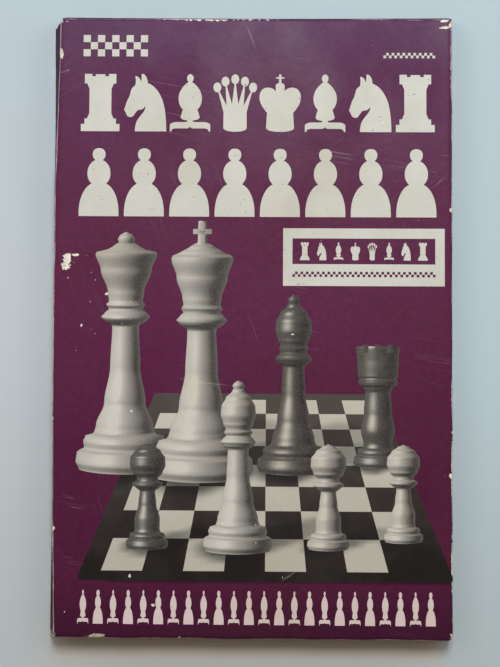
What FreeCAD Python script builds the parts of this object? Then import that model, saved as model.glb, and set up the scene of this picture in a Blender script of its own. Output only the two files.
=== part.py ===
"""A pocket chess set in its card box: a lid over a tray, a rules leaflet, and a folding
wallet board whose two halves hold thirty-two flat playing discs in slots.

Frame: millimetres, +Z up through the lid, +Y towards the head of the cover, the origin at the
middle of the box's underside. The box is shut and the wallet is folded inside it.
"""

import FreeCAD, Part
import Sketcher

import os

OUT = "parts"
FILES = "abcdefgh"
HOME_ROW = ("rook", "knight", "bishop", "queen", "king", "bishop", "knight", "rook")
RANKS = 8
COLUMNS = 4  # files on each half of the board

# alias, value in millimetres, what it is
DIMENSIONS = (
    ("panel_wide", 101.0, "width of the lid's panel between its creases"),
    ("panel_long", 158.8, "length of the lid's panel between its creases"),
    ("box_high", 8.0, "height of the shut box"),
    ("left_lean", 2.8, "how far the lid's left wall leans out at its lower edge"),
    ("right_lean", 0.4, "how far the lid's right wall leans out"),
    ("head_lean", 2.8, "how far the lid's head wall leans out"),
    ("foot_lean", 0.4, "how far the lid's foot wall leans out"),
    ("card", 0.6, "thickness of the box card"),
    ("side_gap", 0.4, "gap between lid and tray along each side"),
    ("end_gap", 1.0, "gap between lid and tray at each end, which holds the lid's glue tabs"),
    ("rim_gap", 0.1, "gap between the tray's rim and the lid panel"),
    ("lid_clear", 0.3, "height of the lid's lower edge above the table"),
    ("tab_long", 12.0, "length of a glue tab along the end wall"),
    ("tab_short", 0.8, "how far a glue tab stops short of the wall's free edge"),
    ("lay_gap", 0.05, "air between things that lie on each other"),
    ("leaflet_wide", 90.0, "width of the folded leaflet"),
    ("leaflet_long", 140.0, "length of the folded leaflet"),
    ("leaf", 0.15, "thickness of one leaf of the leaflet"),
    ("wallet_wide", 96.0, "width of one half of the wallet"),
    ("wallet_long", 152.0, "length of the wallet"),
    ("wallet_shift", -0.3, "how far the wallet lies from the middle of the tray"),
    ("skin", 0.4, "thickness of the wallet's outer vinyl"),
    ("stiffener", 0.9, "thickness of the stiffening board"),
    ("stiffener_inset", 2.5, "margin of vinyl round the stiffening board"),
    ("face", 0.3, "thickness of the printed face sheet"),
    ("corner_radius", 6.0, "radius of the wallet's outer corners"),
    ("faces_apart", 0.2, "gap between the two slot strips when the wallet is shut"),
    ("spine_gap", 0.1, "gap each side of a spine crease"),
    ("pitch", 17.0, "size of one square"),
    ("fold_margin", 1.5, "vinyl between the spine edge and the first file"),
    ("weld_wide", 0.8, "width of the weld along the head of a slot strip"),
    ("weld_high", 0.6, "height of the slot under a strip"),
    ("strip_wide", 2.7, "width of a slot strip"),
    ("strip", 0.25, "thickness of a slot strip"),
    ("title_gap", 1.5, "vinyl between the outer file and the title strip"),
    ("title_wide", 13.0, "width of the title strip"),
    ("disc_wide", 14.0, "diameter of a playing disc"),
    ("tab_wide", 10.0, "width of a disc's square tab"),
    ("disc", 0.5, "thickness of a playing disc"),
    ("disc_slack", 0.1, "gap between a seated disc and the weld above it"),
)

# Expressions that several pieces share, over the sheet's aliases.
LID_TOP = "Sheet.box_high - Sheet.card"
RIM = f"({LID_TOP} - Sheet.rim_gap)"
MID_X = "((Sheet.left_lean - Sheet.right_lean) / 2)"
MID_Y = "((Sheet.foot_lean - Sheet.head_lean) / 2)"
PANEL_X = "(Sheet.panel_wide / 2)"
PANEL_Y = "(Sheet.panel_long / 2)"
TRAY_X = f"({PANEL_X} - Sheet.card - Sheet.side_gap)"
TRAY_Y = f"({PANEL_Y} - Sheet.card - Sheet.end_gap)"
LEAFLET_Z = "(Sheet.card + Sheet.lay_gap)"
WALLET_Z = f"({LEAFLET_Z} + 2 * Sheet.leaf + 2 * Sheet.lay_gap)"
FACE_LEVEL = "(Sheet.skin + Sheet.stiffener + Sheet.face)"
HALF_THICK = f"({FACE_LEVEL} + Sheet.weld_high + Sheet.strip)"
WALLET_THICK = f"(2 * {HALF_THICK} + Sheet.faces_apart)"
WALLET_MID = f"({MID_X} + Sheet.wallet_shift)"
OUTER_EDGE = f"({WALLET_MID} - Sheet.wallet_wide / 2)"
SPINE_EDGE = f"({WALLET_MID} + Sheet.wallet_wide / 2)"
FIELD_WIDE = f"({COLUMNS} * Sheet.pitch)"
FIELD_LONG = f"({RANKS} * Sheet.pitch)"
FIELD_EDGE = f"({SPINE_EDGE} - Sheet.fold_margin - {FIELD_WIDE})"
FIELD_FOOT = f"({MID_Y} - {FIELD_LONG} / 2)"

doc = FreeCAD.newDocument("pocket_chess_set")


def make_sheet():
    """The spreadsheet that holds every driving dimension under its alias."""
    sheet = doc.addObject("Spreadsheet::Sheet", "Sheet")
    for row, (alias, value, note) in enumerate(DIMENSIONS, start=1):
        sheet.set(f"A{row}", note)
        sheet.set(f"B{row}", str(value))
        sheet.setAlias(f"B{row}", alias)
    doc.recompute()
    return sheet


def bind(obj, **expressions):
    """Binds an object's properties to the sheet. place_x, place_y and place_z set its Placement."""
    for name, text in expressions.items():
        path = f"Placement.Base.{name[-1]}" if name.startswith("place_") else name
        obj.setExpression(path, str(text))


def slab(name, x, y, z, wide, long, high):
    """A rectangular block from its lowest corner and its three sizes, each an expression."""
    block = doc.addObject("Part::Box", name)
    bind(block, Length=wide, Width=long, Height=high, place_x=x, place_y=y, place_z=z)
    return block


def compound(label, members):
    """One sub-part made of separate solids that touch or repeat."""
    group = doc.addObject("Part::Compound", label)
    group.Links = members
    group.Label = label
    return group


def body_sketch(label):
    """An empty body with a sketch on its XY plane."""
    body = doc.addObject("PartDesign::Body", label)
    body.Label = label
    plane = next(item for item in body.Origin.OriginFeatures if item.Role == "XY_Plane")
    sketch = body.newObject("Sketcher::SketchObject", f"{label}_outline")
    sketch.AttachmentSupport = [(plane, "")]
    sketch.MapMode = "FlatFace"
    return body, sketch


def pad(body, sketch, thickness):
    """Pads a sketch upwards by an expression's length."""
    block = body.newObject("PartDesign::Pad", f"{body.Label}_pad")
    block.Profile = sketch
    bind(block, Length=thickness)
    sketch.Visibility = False
    return block


def rectangle(sketch, wide, long):
    """A rectangle from the sketch's origin into its positive quarter, with bound sizes."""
    corners = [FreeCAD.Vector(x, y, 0) for x, y in ((0, 0), (10, 0), (10, 10), (0, 10))]
    for start, end in zip(corners, corners[1:] + corners[:1]):
        sketch.addGeometry(Part.LineSegment(start, end), False)
    for side in range(4):
        sketch.addConstraint(Sketcher.Constraint("Coincident", side, 2, (side + 1) % 4, 1))
    for side, lie in enumerate(("Horizontal", "Vertical") * 2):
        sketch.addConstraint(Sketcher.Constraint(lie, side))
    sketch.addConstraint(Sketcher.Constraint("Coincident", 0, 1, -1, 1))
    for kind, side, text in (("DistanceX", 0, wide), ("DistanceY", 1, long)):
        index = sketch.addConstraint(Sketcher.Constraint(kind, side, 1, side, 2, 10.0))
        sketch.setExpression(f"Constraints[{index}]", text)


def plate(label, x, y, z, wide, long, thick, rounded=False):
    """A flat sheet as a padded body, its two outer corners rounded if asked."""
    body, sketch = body_sketch(label)
    rectangle(sketch, wide, long)
    block = pad(body, sketch, thick)
    bind(body, place_x=x, place_y=y, place_z=z)
    doc.recompute()
    if rounded:
        round_outer_corners(body, block)
    return body


def round_outer_corners(body, block):
    """Fillets the upright edges at the sheet's left side, the side away from the spine."""
    names = []
    for number, edge in enumerate(block.Shape.Edges, start=1):
        start, end = edge.Vertexes[0].Point, edge.Vertexes[-1].Point
        upright = abs(start.x - end.x) < 1e-6 and abs(start.y - end.y) < 1e-6
        if upright and abs(start.x - block.Shape.BoundBox.XMin) < 1e-6:
            names.append(f"Edge{number}")
    fillet = body.newObject("PartDesign::Fillet", f"{body.Label}_corners")
    fillet.Base = (block, names)
    bind(fillet, Radius="Sheet.corner_radius")
    body.Tip = fillet


def leaning_wall(name, x, y, z, wide, long, high, lean_x="0", lean_y="0"):
    """An upright card wall whose top is shifted sideways from its foot by lean_x and lean_y."""
    wall = doc.addObject("Part::Wedge", name)
    wall.Placement = FreeCAD.Placement(FreeCAD.Vector(), FreeCAD.Rotation(FreeCAD.Vector(1, 0, 0), 90))
    bind(wall,
         Xmin="0", Xmax=wide, Ymin="0", Ymax=high, Zmin=f"-({long})", Zmax="0",
         X2min=lean_x, X2max=f"({wide}) + ({lean_x})",
         Z2min=f"-({long}) - ({lean_y})", Z2max=f"-({lean_y})",
         place_x=x, place_y=y, place_z=z)
    return wall


def make_lid():
    """The lid: a panel with four walls folded down over the tray, and its glue tabs.

    The walls lean out from their creases, and the tabs that turn the corners have let go of them.
    """
    card, low = "Sheet.card", "Sheet.lid_clear"
    tall = f"{LID_TOP} - {low}"
    left, right = f"{MID_X} - {PANEL_X}", f"{MID_X} + {PANEL_X} - {card}"
    foot, head = f"{MID_Y} - {PANEL_Y}", f"{MID_Y} + {PANEL_Y} - {card}"
    side_long, end_wide = f"Sheet.panel_long - 2 * {card}", "Sheet.panel_wide"
    pieces = [
        slab("lid_panel", left, foot, LID_TOP, "Sheet.panel_wide", "Sheet.panel_long", card),
        leaning_wall("lid_left_wall", f"{left} - Sheet.left_lean", f"{foot} + {card}", low,
                     card, side_long, tall, lean_x="Sheet.left_lean"),
        leaning_wall("lid_right_wall", f"{right} + Sheet.right_lean", f"{foot} + {card}", low,
                     card, side_long, tall, lean_x="-Sheet.right_lean"),
        leaning_wall("lid_foot_wall", left, f"{foot} - Sheet.foot_lean", low,
                     end_wide, card, tall, lean_y="Sheet.foot_lean"),
        leaning_wall("lid_head_wall", left, f"{head} + Sheet.head_lean", low,
                     end_wide, card, tall, lean_y="-Sheet.head_lean"),
    ]
    for side, x in (("left", f"{left} + {card}"), ("right", f"{right} - Sheet.tab_long")):
        for end, y in (("foot", f"{foot} + {card}"), ("head", f"{head} - {card}")):
            pieces.append(slab(f"lid_{side}_{end}_tab", x, y, f"{low} + Sheet.tab_short",
                               "Sheet.tab_long", card, f"{tall} - Sheet.tab_short"))
    return compound("box_lid", pieces)


def make_tray():
    """The tray: a floor with four walls folded up inside the lid, and its glue tabs."""
    card = "Sheet.card"
    tall = f"{RIM} - {card}"
    left, right = f"{MID_X} - {TRAY_X}", f"{MID_X} + {TRAY_X} - {card}"
    foot, head = f"{MID_Y} - {TRAY_Y}", f"{MID_Y} + {TRAY_Y} - {card}"
    pieces = [slab("tray_floor", left, foot, "0", f"2 * {TRAY_X}", f"2 * {TRAY_Y}", card)]
    for name, x in (("left", left), ("right", right)):
        pieces.append(slab(f"tray_{name}_wall", x, f"{foot} + {card}", card,
                           card, f"2 * ({TRAY_Y} - {card})", tall))
    for name, y in (("foot", foot), ("head", head)):
        pieces.append(slab(f"tray_{name}_wall", left, y, card, f"2 * {TRAY_X}", card, tall))
    for side, x in (("left", f"{left} + {card}"), ("right", f"{right} - Sheet.tab_long")):
        for end, y in (("foot", f"{foot} + {card}"), ("head", f"{head} - {card}")):
            pieces.append(slab(f"tray_{side}_{end}_tab", x, y, card,
                               "Sheet.tab_long", card, f"{tall} - Sheet.tab_short"))
    return compound("box_tray", pieces)


def make_leaflet():
    """The rules leaflet: one sheet folded once, so two leaves lie on each other."""
    leaves = [
        slab(f"leaflet_{name}_leaf", f"{MID_X} - Sheet.leaflet_wide / 2",
             f"{MID_Y} - Sheet.leaflet_long / 2", f"{LEAFLET_Z} + {count} * Sheet.leaf",
             "Sheet.leaflet_wide", "Sheet.leaflet_long", "Sheet.leaf")
        for count, name in enumerate(("back", "front"))
    ]
    return compound("rules_leaflet", leaves)


def half_level(upper, level, thick):
    """Height of a sheet in one half of the shut wallet. level counts from that half's skin."""
    if upper:
        return f"{WALLET_Z} + {WALLET_THICK} - ({level}) - ({thick})"
    return f"{WALLET_Z} + ({level})"


def make_wallet_half(name, upper):
    """Skin, stiffening board, printed face, title strip, slot welds and slot strips."""
    foot = f"{MID_Y} - Sheet.wallet_long / 2"
    inset = "Sheet.stiffener_inset"
    board = "Sheet.skin"
    sheets = [
        plate(f"{name}_cover_skin", OUTER_EDGE, foot,
              half_level(upper, "0", "Sheet.skin"),
              "Sheet.wallet_wide", "Sheet.wallet_long", "Sheet.skin", rounded=True),
        plate(f"{name}_stiffener", f"{OUTER_EDGE} + {inset}", f"{foot} + {inset}",
              half_level(upper, board, "Sheet.stiffener"),
              f"Sheet.wallet_wide - 2 * {inset}", f"Sheet.wallet_long - 2 * {inset}",
              "Sheet.stiffener"),
        plate(f"{name}_board_face", OUTER_EDGE, foot,
              half_level(upper, f"{board} + Sheet.stiffener", "Sheet.face"),
              "Sheet.wallet_wide", "Sheet.wallet_long", "Sheet.face", rounded=True),
        plate(f"{name}_title_strip",
              f"{FIELD_EDGE} - Sheet.title_gap - Sheet.title_wide", FIELD_FOOT,
              half_level(upper, FACE_LEVEL, "Sheet.strip"),
              "Sheet.title_wide", FIELD_LONG, "Sheet.strip"),
    ]
    welds, strips = [], []
    for rank in range(1, RANKS + 1):
        head = f"{FIELD_FOOT} + {rank} * Sheet.pitch"
        welds.append(slab(f"{name}_weld_{rank}", FIELD_EDGE, f"{head} - Sheet.weld_wide",
                          half_level(upper, FACE_LEVEL, "Sheet.weld_high"),
                          FIELD_WIDE, "Sheet.weld_wide", "Sheet.weld_high"))
        strips.append(slab(f"{name}_strip_{rank}", FIELD_EDGE, f"{head} - Sheet.strip_wide",
                           half_level(upper, f"{FACE_LEVEL} + Sheet.weld_high", "Sheet.strip"),
                           FIELD_WIDE, "Sheet.strip_wide", "Sheet.strip"))
    return sheets + [
        compound(f"{name}_slot_welds", welds),
        compound(f"{name}_slot_strips", strips),
    ]


def make_spine():
    """The strip of vinyl between the two creases that the wallet folds about."""
    return plate("spine_strip", f"{SPINE_EDGE} + Sheet.spine_gap",
                 f"{MID_Y} - Sheet.wallet_long / 2", WALLET_Z,
                 "Sheet.skin", "Sheet.wallet_long", WALLET_THICK)


def disc_outline(sketch):
    """A round disc whose head is squared off by a tab: one arc and three straight edges."""
    radius, half_tab = 7.0, 5.0
    shoulder = (radius**2 - half_tab**2) ** 0.5
    left, right = FreeCAD.Vector(-half_tab, shoulder, 0), FreeCAD.Vector(half_tab, shoulder, 0)
    head_left, head_right = (FreeCAD.Vector(x, radius, 0) for x in (-half_tab, half_tab))
    arc = Part.Arc(left, FreeCAD.Vector(0, -radius, 0), right)
    lines = [Part.LineSegment(*ends) for ends in
             ((right, head_right), (head_right, head_left), (head_left, left))]
    for edge in (arc, *lines):
        sketch.addGeometry(edge, False)
    for first, first_end, then, then_end in ((0, 2, 1, 1), (1, 2, 2, 1), (2, 2, 3, 1), (3, 2, 0, 1)):
        sketch.addConstraint(Sketcher.Constraint("Coincident", first, first_end, then, then_end))
    sketch.addConstraint(Sketcher.Constraint("Coincident", 0, 3, -1, 1))
    for side in (1, 3):
        sketch.addConstraint(Sketcher.Constraint("Vertical", side))
    sketch.addConstraint(Sketcher.Constraint("Symmetric", 2, 1, 2, 2, -2))
    sizes = (
        (Sketcher.Constraint("Radius", 0, radius), "Sheet.disc_wide / 2"),
        (Sketcher.Constraint("DistanceX", 2, 2, 2, 1, 2 * half_tab), "Sheet.tab_wide"),
        (Sketcher.Constraint("DistanceY", -1, 1, 2, 1, radius), "Sheet.disc_wide / 2"),
    )
    for constraint, text in sizes:
        index = sketch.addConstraint(constraint)
        sketch.setExpression(f"Constraints[{index}]", text)


def make_disc(label, file_index, rank):
    """One playing disc, seated with its tab under the strip at the head of its square."""
    upper = file_index >= COLUMNS
    column = file_index - COLUMNS if upper else COLUMNS - 1 - file_index
    body, sketch = body_sketch(label)
    disc_outline(sketch)
    pad(body, sketch, "Sheet.disc")
    bind(body,
         place_x=f"{SPINE_EDGE} - Sheet.fold_margin - {column + 0.5} * Sheet.pitch",
         place_y=f"{FIELD_FOOT} + {rank} * Sheet.pitch - Sheet.weld_wide"
                 " - Sheet.disc_slack - Sheet.disc_wide / 2",
         place_z=half_level(upper, f"{FACE_LEVEL} + Sheet.lay_gap", "Sheet.disc"))
    return body


def make_discs():
    """The thirty-two discs in their opening places."""
    discs = []
    for side, home, pawns in (("white", 1, 2), ("black", RANKS, RANKS - 1)):
        for index, (letter, piece) in enumerate(zip(FILES, HOME_ROW)):
            discs.append(make_disc(f"{side}_{piece}_{letter}", index, home))
            discs.append(make_disc(f"{side}_pawn_{letter}", index, pawns))
    return discs


def check_document():
    """Stops if any object failed to rebuild."""
    failed = [item.Label for item in doc.Objects
              if "Invalid" in item.State or "Error" in item.State]
    if failed:
        raise RuntimeError(f"failed to rebuild: {failed}")


def write_parts(parts):
    """Checks each sub-part's shape and writes it to its own STEP file."""
    os.makedirs(OUT, exist_ok=True)
    for old in os.listdir(OUT):
        os.remove(os.path.join(OUT, old))
    for item in parts:
        shape = item.Shape
        if shape.isNull() or not shape.isValid() or shape.Volume <= 0:
            raise RuntimeError(f"{item.Label} has no valid solid")
        shape.exportStep(os.path.join(OUT, f"{item.Label}.step"))
        print(f"{item.Label}: {len(shape.Solids)} solids, {shape.Volume:.1f} mm3")


make_sheet()
sub_parts = [
    make_lid(),
    make_tray(),
    make_leaflet(),
    *make_wallet_half("left", upper=False),
    *make_wallet_half("right", upper=True),
    make_spine(),
    *make_discs(),
]
doc.recompute()
check_document()
write_parts(sub_parts)
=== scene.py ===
"""Finishes a pocket travel chess set: a worn printed card box with a lid over a tray, a rules
leaflet, and a folding vinyl wallet board with thirty-two flat discs tucked into its slots.

Metres, +Z up through the lid, +Y towards the head of the cover. The box is shut and the wallet
is folded inside it. The right half of the wallet is made lying open and is then folded shut.
"""

import math
from functools import partial, reduce

import bmesh
import bpy
from mathutils import Matrix, Vector


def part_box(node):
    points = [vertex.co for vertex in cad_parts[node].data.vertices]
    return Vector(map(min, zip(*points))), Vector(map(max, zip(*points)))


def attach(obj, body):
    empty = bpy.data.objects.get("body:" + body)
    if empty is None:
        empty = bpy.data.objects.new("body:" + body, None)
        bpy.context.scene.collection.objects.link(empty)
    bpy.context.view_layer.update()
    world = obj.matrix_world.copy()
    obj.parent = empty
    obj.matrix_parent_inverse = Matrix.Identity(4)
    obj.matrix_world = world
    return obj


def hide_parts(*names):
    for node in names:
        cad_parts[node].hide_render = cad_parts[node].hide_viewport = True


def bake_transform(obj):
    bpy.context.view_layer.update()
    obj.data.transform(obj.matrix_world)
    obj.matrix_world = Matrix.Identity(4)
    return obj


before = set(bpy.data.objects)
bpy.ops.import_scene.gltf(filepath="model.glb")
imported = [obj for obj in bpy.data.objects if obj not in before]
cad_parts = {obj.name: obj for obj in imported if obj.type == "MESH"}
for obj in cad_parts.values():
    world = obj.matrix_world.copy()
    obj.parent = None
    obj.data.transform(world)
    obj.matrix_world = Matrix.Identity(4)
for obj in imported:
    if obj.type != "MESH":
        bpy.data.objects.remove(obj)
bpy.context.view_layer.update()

MM = 0.001

# -------- sizes: first those of the frame's nodes, then those that the modelling adds
LID_LOW, LID_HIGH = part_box("box_lid")
TRAY_LOW, TRAY_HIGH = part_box("box_tray")
LEAFLET_LOW, LEAFLET_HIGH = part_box("rules_leaflet")
SKIN_LOW, SKIN_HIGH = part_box("left_cover_skin")
FACE_LOW, FACE_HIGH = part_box("left_board_face")
STRIPS_LOW, STRIPS_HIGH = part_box("left_slot_strips")
TITLE_LOW, TITLE_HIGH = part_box("left_title_strip")
SPINE_LOW, SPINE_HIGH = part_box("spine_strip")
UPPER_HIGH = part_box("right_cover_skin")[1]

CARD = 0.6 * MM    # thickness of the box's card
CREASE = 0.9 * MM  # radius of a folded card crease
BENT = 0.8 * MM    # below this drop from its crease the card is a wall
LEAN = 0.04 * MM   # how far a leaning wall stays inside the lid's box
PRINT = 0.05 * MM  # room above the card for the layers of print
CLOSE = 0.01 * MM  # how near to a line still counts as on it
STRIP = 0.4 * MM   # thickness of the spine's strip in the frame
VINYL = 0.34 * MM  # and as it is modelled
FLAP = 0.2 * MM    # thickness of a slot's flap
PAPER = 0.11 * MM  # thickness of the leaflet's paper
DISC = 0.5 * MM    # thickness of a disc's plastic
PITCH = 17 * MM    # one square of the board
RANKS = 8          # squares up the board
COLUMNS = 4        # squares across each half of it
MIDDLE = (TRAY_LOW + TRAY_HIGH) / 2
TRAY_HALF = (TRAY_HIGH - TRAY_LOW) / 2
PANEL_HALF = TRAY_HALF + Vector((1.0, 1.6, 0)) * MM  # half the lid's panel, crease to crease
LID_LEVEL = LID_HIGH.z - PRINT
DISH = 0.3 * MM  # how far the lid's panel has sunk in its middle
FIELD_FOOT = STRIPS_HIGH.y - RANKS * PITCH
# the line that the right half folds about
FOLD_X = (SPINE_LOW.x + SPINE_HIGH.x) / 2 + (UPPER_HIGH.z - SKIN_LOW.z - STRIP) / 2
FOLD_Z = (SKIN_LOW.z + UPPER_HIGH.z) / 2

# -------- modelling by hand


def mm(*sizes):
    """Sizes in millimetres, as metres."""
    return tuple(size * MM for size in sizes)


def deselect():
    """Leaves object mode with nothing selected."""
    if bpy.context.mode != "OBJECT":
        bpy.ops.object.mode_set(mode="OBJECT")
    bpy.ops.object.select_all(action="DESELECT")


def take(*pieces):
    """Selects these pieces, the first of them active."""
    deselect()
    for piece in pieces:
        piece.select_set(True)
    bpy.context.view_layer.objects.active = pieces[0]


def open_piece(piece, everything=False):
    """Opens a piece for editing, with all or none of it selected."""
    take(piece)
    bpy.ops.object.mode_set(mode="EDIT")
    bpy.ops.mesh.select_mode(type="VERT")
    bpy.ops.mesh.select_all(action="SELECT" if everything else "DESELECT")


def close_piece():
    bpy.ops.object.mode_set(mode="OBJECT")


def face_outwards():
    """Turns the open piece's faces all one way, and closes it."""
    bpy.ops.mesh.select_all(action="SELECT")
    bpy.ops.mesh.normals_make_consistent(inside=False)
    close_piece()


def turn_faces(piece):
    """Turns a piece's faces to the other side."""
    open_piece(piece, everything=True)
    bpy.ops.mesh.flip_normals()
    close_piece()


def round_corners(piece, width):
    """Rounds the picked corners of an open flat sheet, and closes it."""
    bpy.ops.mesh.bevel(offset=width, segments=5, affect="VERTICES")
    close_piece()
    return piece


def pick(piece, kind, test):
    """Selects the open piece's vertices or edges that lie where test(point) is true."""
    bpy.ops.mesh.select_all(action="DESELECT")
    bpy.ops.mesh.select_mode(type=kind)
    shape = bmesh.from_edit_mesh(piece.data)
    for item in shape.verts if kind == "VERT" else shape.edges:
        points = [item.co] if kind == "VERT" else [v.co for v in item.verts]
        item.select_set(all(test(p) for p in points))
    bmesh.update_edit_mesh(piece.data)


def added(name):
    """Names the object that an operator has just made."""
    piece = bpy.context.object
    piece.name = name
    piece.data.name = name
    return piece


def add(name, operator, **settings):
    """Adds a new object with nothing else selected."""
    deselect()
    operator(**settings)
    return added(name)


def sheet_at(name, low, high, level, columns=1, rows=1):
    """A flat grid between two corners at one level, facing up."""
    piece = add(name, bpy.ops.mesh.primitive_grid_add, x_subdivisions=columns, y_subdivisions=rows, size=1)
    open_piece(piece, everything=True)
    bpy.ops.transform.resize(value=(high[0] - low[0], high[1] - low[1], 1))
    bpy.ops.transform.translate(value=((low[0] + high[0]) / 2, (low[1] + high[1]) / 2, level))
    close_piece()
    return piece


def extrude(x, y, z):
    """Extrudes the picked edges and leaves the new ones picked."""
    bpy.ops.mesh.extrude_edges_move(TRANSFORM_OT_translate={"value": (x, y, z)})


def reshape(piece, move):
    """Moves every vertex of a piece to move(point)."""
    for vertex in piece.data.vertices:
        vertex.co = move(vertex.co.copy())
    piece.data.update()
    return piece


def finish_with(piece, kind, **settings):
    """Adds one modifier and applies it."""
    take(piece)
    modifier = piece.modifiers.new(kind.lower(), kind)
    for key, value in settings.items():
        setattr(modifier, key, value)
    bpy.ops.object.modifier_apply(modifier=modifier.name)
    return piece


def thicken(piece, thickness, rim=0, inside=0):
    """Gives a sheet its thickness on the side away from its face."""
    return finish_with(piece, "SOLIDIFY", thickness=thickness, offset=-1, use_even_offset=True,
                       material_offset=inside, material_offset_rim=rim)


def round_edges(piece, width):
    return finish_with(piece, "BEVEL", width=width, segments=2, limit_method="ANGLE",
                       angle_limit=math.radians(40), harden_normals=False)


def smooth(piece, angle=35):
    take(piece)
    bpy.ops.object.shade_smooth_by_angle(angle=math.radians(angle))
    return piece


def joined(name, pieces):
    """Joins pieces into the first one."""
    take(*pieces)
    bpy.ops.object.join()
    return added(name)


def copy_of(piece, name, offset=(0, 0, 0)):
    """A copy with its own mesh, moved by offset."""
    take(piece)
    bpy.ops.object.duplicate(linked=False)
    made = added(name)
    made.data.transform(Matrix.Translation(Vector(offset)))
    return made


def painted(piece, *materials):
    """Gives a piece its materials, before its walls are given a thickness."""
    piece.data.materials.clear()
    for material in materials:
        piece.data.materials.append(material)
    return piece


def dress(piece, body, slot, *stands_for):
    """Says what a piece rides on and what it stands for. slot, for where its finish comes from, is not
    used.
    """
    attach(piece, body)
    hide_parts(*stands_for)


def fold_shut(piece):
    """Turns a piece of the open right half over onto the left half."""
    about = Vector((FOLD_X, 0, FOLD_Z))
    piece.data.transform(
        Matrix.Translation(about) @ Matrix.Rotation(math.pi, 4, "Y") @ Matrix.Translation(-about))


def keep(piece, label, kind, marks):
    """Keeps a mark for each point of a piece, for its material to read."""
    made = piece.data.attributes.new(label, kind, "POINT")
    made.data.foreach_set("value" if kind == "FLOAT" else "vector", marks)


def eased(value, low, high):
    """0 below low, 1 above high, and smooth between them."""
    share = min(1, max(0, (value - low) / (high - low)))
    return share * share * (3 - 2 * share)


# -------- shader parts


def node(kind, wires, tree=None, **settings):
    """A new node's outputs. wires maps its inputs to values or to other nodes' outputs."""
    tree = tree or next(v.id_data for v in wires.values() if isinstance(v, bpy.types.NodeSocket))
    made = tree.nodes.new("ShaderNode" + kind)
    for key, value in settings.items():
        setattr(made, key, value)
    for key, value in wires.items():
        if isinstance(value, bpy.types.NodeSocket):
            tree.links.new(value, made.inputs[key])
        else:
            made.inputs[key].default_value = value
    return made.outputs


def sums(operation, *values, clamp=False):
    """One Math node's output."""
    return node("Math", dict(enumerate(values)), operation=operation, use_clamp=clamp)[0]


def shift(operation, *values):
    """One Vector Math node's output."""
    return node("VectorMath", dict(enumerate(values)), operation=operation)[0]


plus, minus, times, over = (partial(sums, kind) for kind in ("ADD", "SUBTRACT", "MULTIPLY", "DIVIDE"))
most, least, above, below = (
    partial(sums, kind) for kind in ("MAXIMUM", "MINIMUM", "GREATER_THAN", "LESS_THAN"))


def apart(value, other):
    """How far a value is from another."""
    return sums("ABSOLUTE", minus(value, other))


def band(value, low, high):
    """1 where a value is between two limits."""
    return times(above(value, low), below(value, high))


def length(vector):
    return node("VectorMath", {0: vector}, operation="LENGTH")["Value"]


def scaled(vector, size):
    return node("VectorMath", {0: vector, 3: size}, operation="SCALE")[0]


def axes(place):
    """A place's X, Y and Z."""
    return node("SeparateXYZ", {0: place})


def mix(share, first, second):
    """Mixes two colours by share. A Mix node has its colours at inputs 6 and 7 and output 2."""
    first, second = (c if isinstance(c, bpy.types.NodeSocket) else (*c, 1) for c in (first, second))
    return node("Mix", {0: share, 6: first, 7: second}, data_type="RGBA")[2]


def ramp(value, low, high, to_low=0.0, to_high=1.0):
    """Maps value smoothly from low..high to to_low..to_high."""
    return node("MapRange", {0: value, 1: low, 2: high, 3: to_low, 4: to_high},
                interpolation_type="SMOOTHSTEP")[0]


def grain(place, scale, detail, roughness=0.55):
    """A noise value over a place."""
    return node("TexNoise", {"Vector": place, "Scale": scale, "Detail": detail,
                             "Roughness": roughness})["Fac"]


def chequered(across, along):
    """1 on every other unit square."""
    cell = node("CombineXYZ", {0: across, 1: along, 2: 0.5})[0]
    return node("TexChecker", {"Vector": cell, "Scale": 1.0})["Fac"]


def bent(place, scale, far):
    """A place pushed about by noise."""
    wobble = node("TexNoise", {"Vector": place, "Scale": scale})["Color"]
    return shift("ADD", place, scaled(wobble, far))


def drawn_out(place, turn, stretch):
    """A place turned and then stretched, for marks that run one way."""
    return node("Mapping", {"Vector": place, "Rotation": (0, 0, turn), "Scale": (1.0, stretch, 1.0)},
                vector_type="TEXTURE")[0]


def marked(place, label, output="Fac"):
    """The marks that a piece keeps, in the tree that a place is in."""
    return node("Attribute", {}, place.id_data, attribute_name=label)[output]


def new_group(name, inputs, build):
    """A shader node group. build makes its outputs from its inputs."""
    tree = bpy.data.node_groups.new(name, "ShaderNodeTree")
    for label, value in inputs.items():
        kind = "NodeSocketVector" if isinstance(value, tuple) else "NodeSocketFloat"
        tree.interface.new_socket(label, in_out="INPUT", socket_type=kind).default_value = value
    results = build(tree.nodes.new("NodeGroupInput").outputs)
    for label in results:
        tree.interface.new_socket(label, in_out="OUTPUT", socket_type="NodeSocketFloat")
    out = tree.nodes.new("NodeGroupOutput").inputs
    for label, value in results.items():
        tree.links.new(value, out[label])
    return tree


def effect(group, place, **wires):
    """Lays a node group over a place and returns its outputs."""
    return node("Group", {"Place": place, **wires}, node_tree=group)


def rubbed_crease(given):
    """Where the print has rubbed off along four creases, each with its own reach.

    Low and High hold the places of the creases, and the reaches go with them.
    """
    coarse = ramp(grain(given["Place"], 75.0, 3.0), 0.38, 0.62, 0.1, 1.6)
    fine = ramp(grain(given["Place"], 1500.0, 3.0), 0.3, 0.7, 0.6, 1.3)
    wander = times(coarse, fine)
    worn = []
    for crease in ("Low", "High"):
        away = axes(shift("ABSOLUTE", shift("SUBTRACT", given["Place"], given[crease])))
        reaches = axes(given[crease + " Reach"])
        for axis in ("X", "Y"):
            limit = times(reaches[axis], wander)
            worn.append(ramp(minus(limit, away[axis]), 0.0, 0.09 * MM))
    return {"Mask": reduce(most, worn)}


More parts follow.
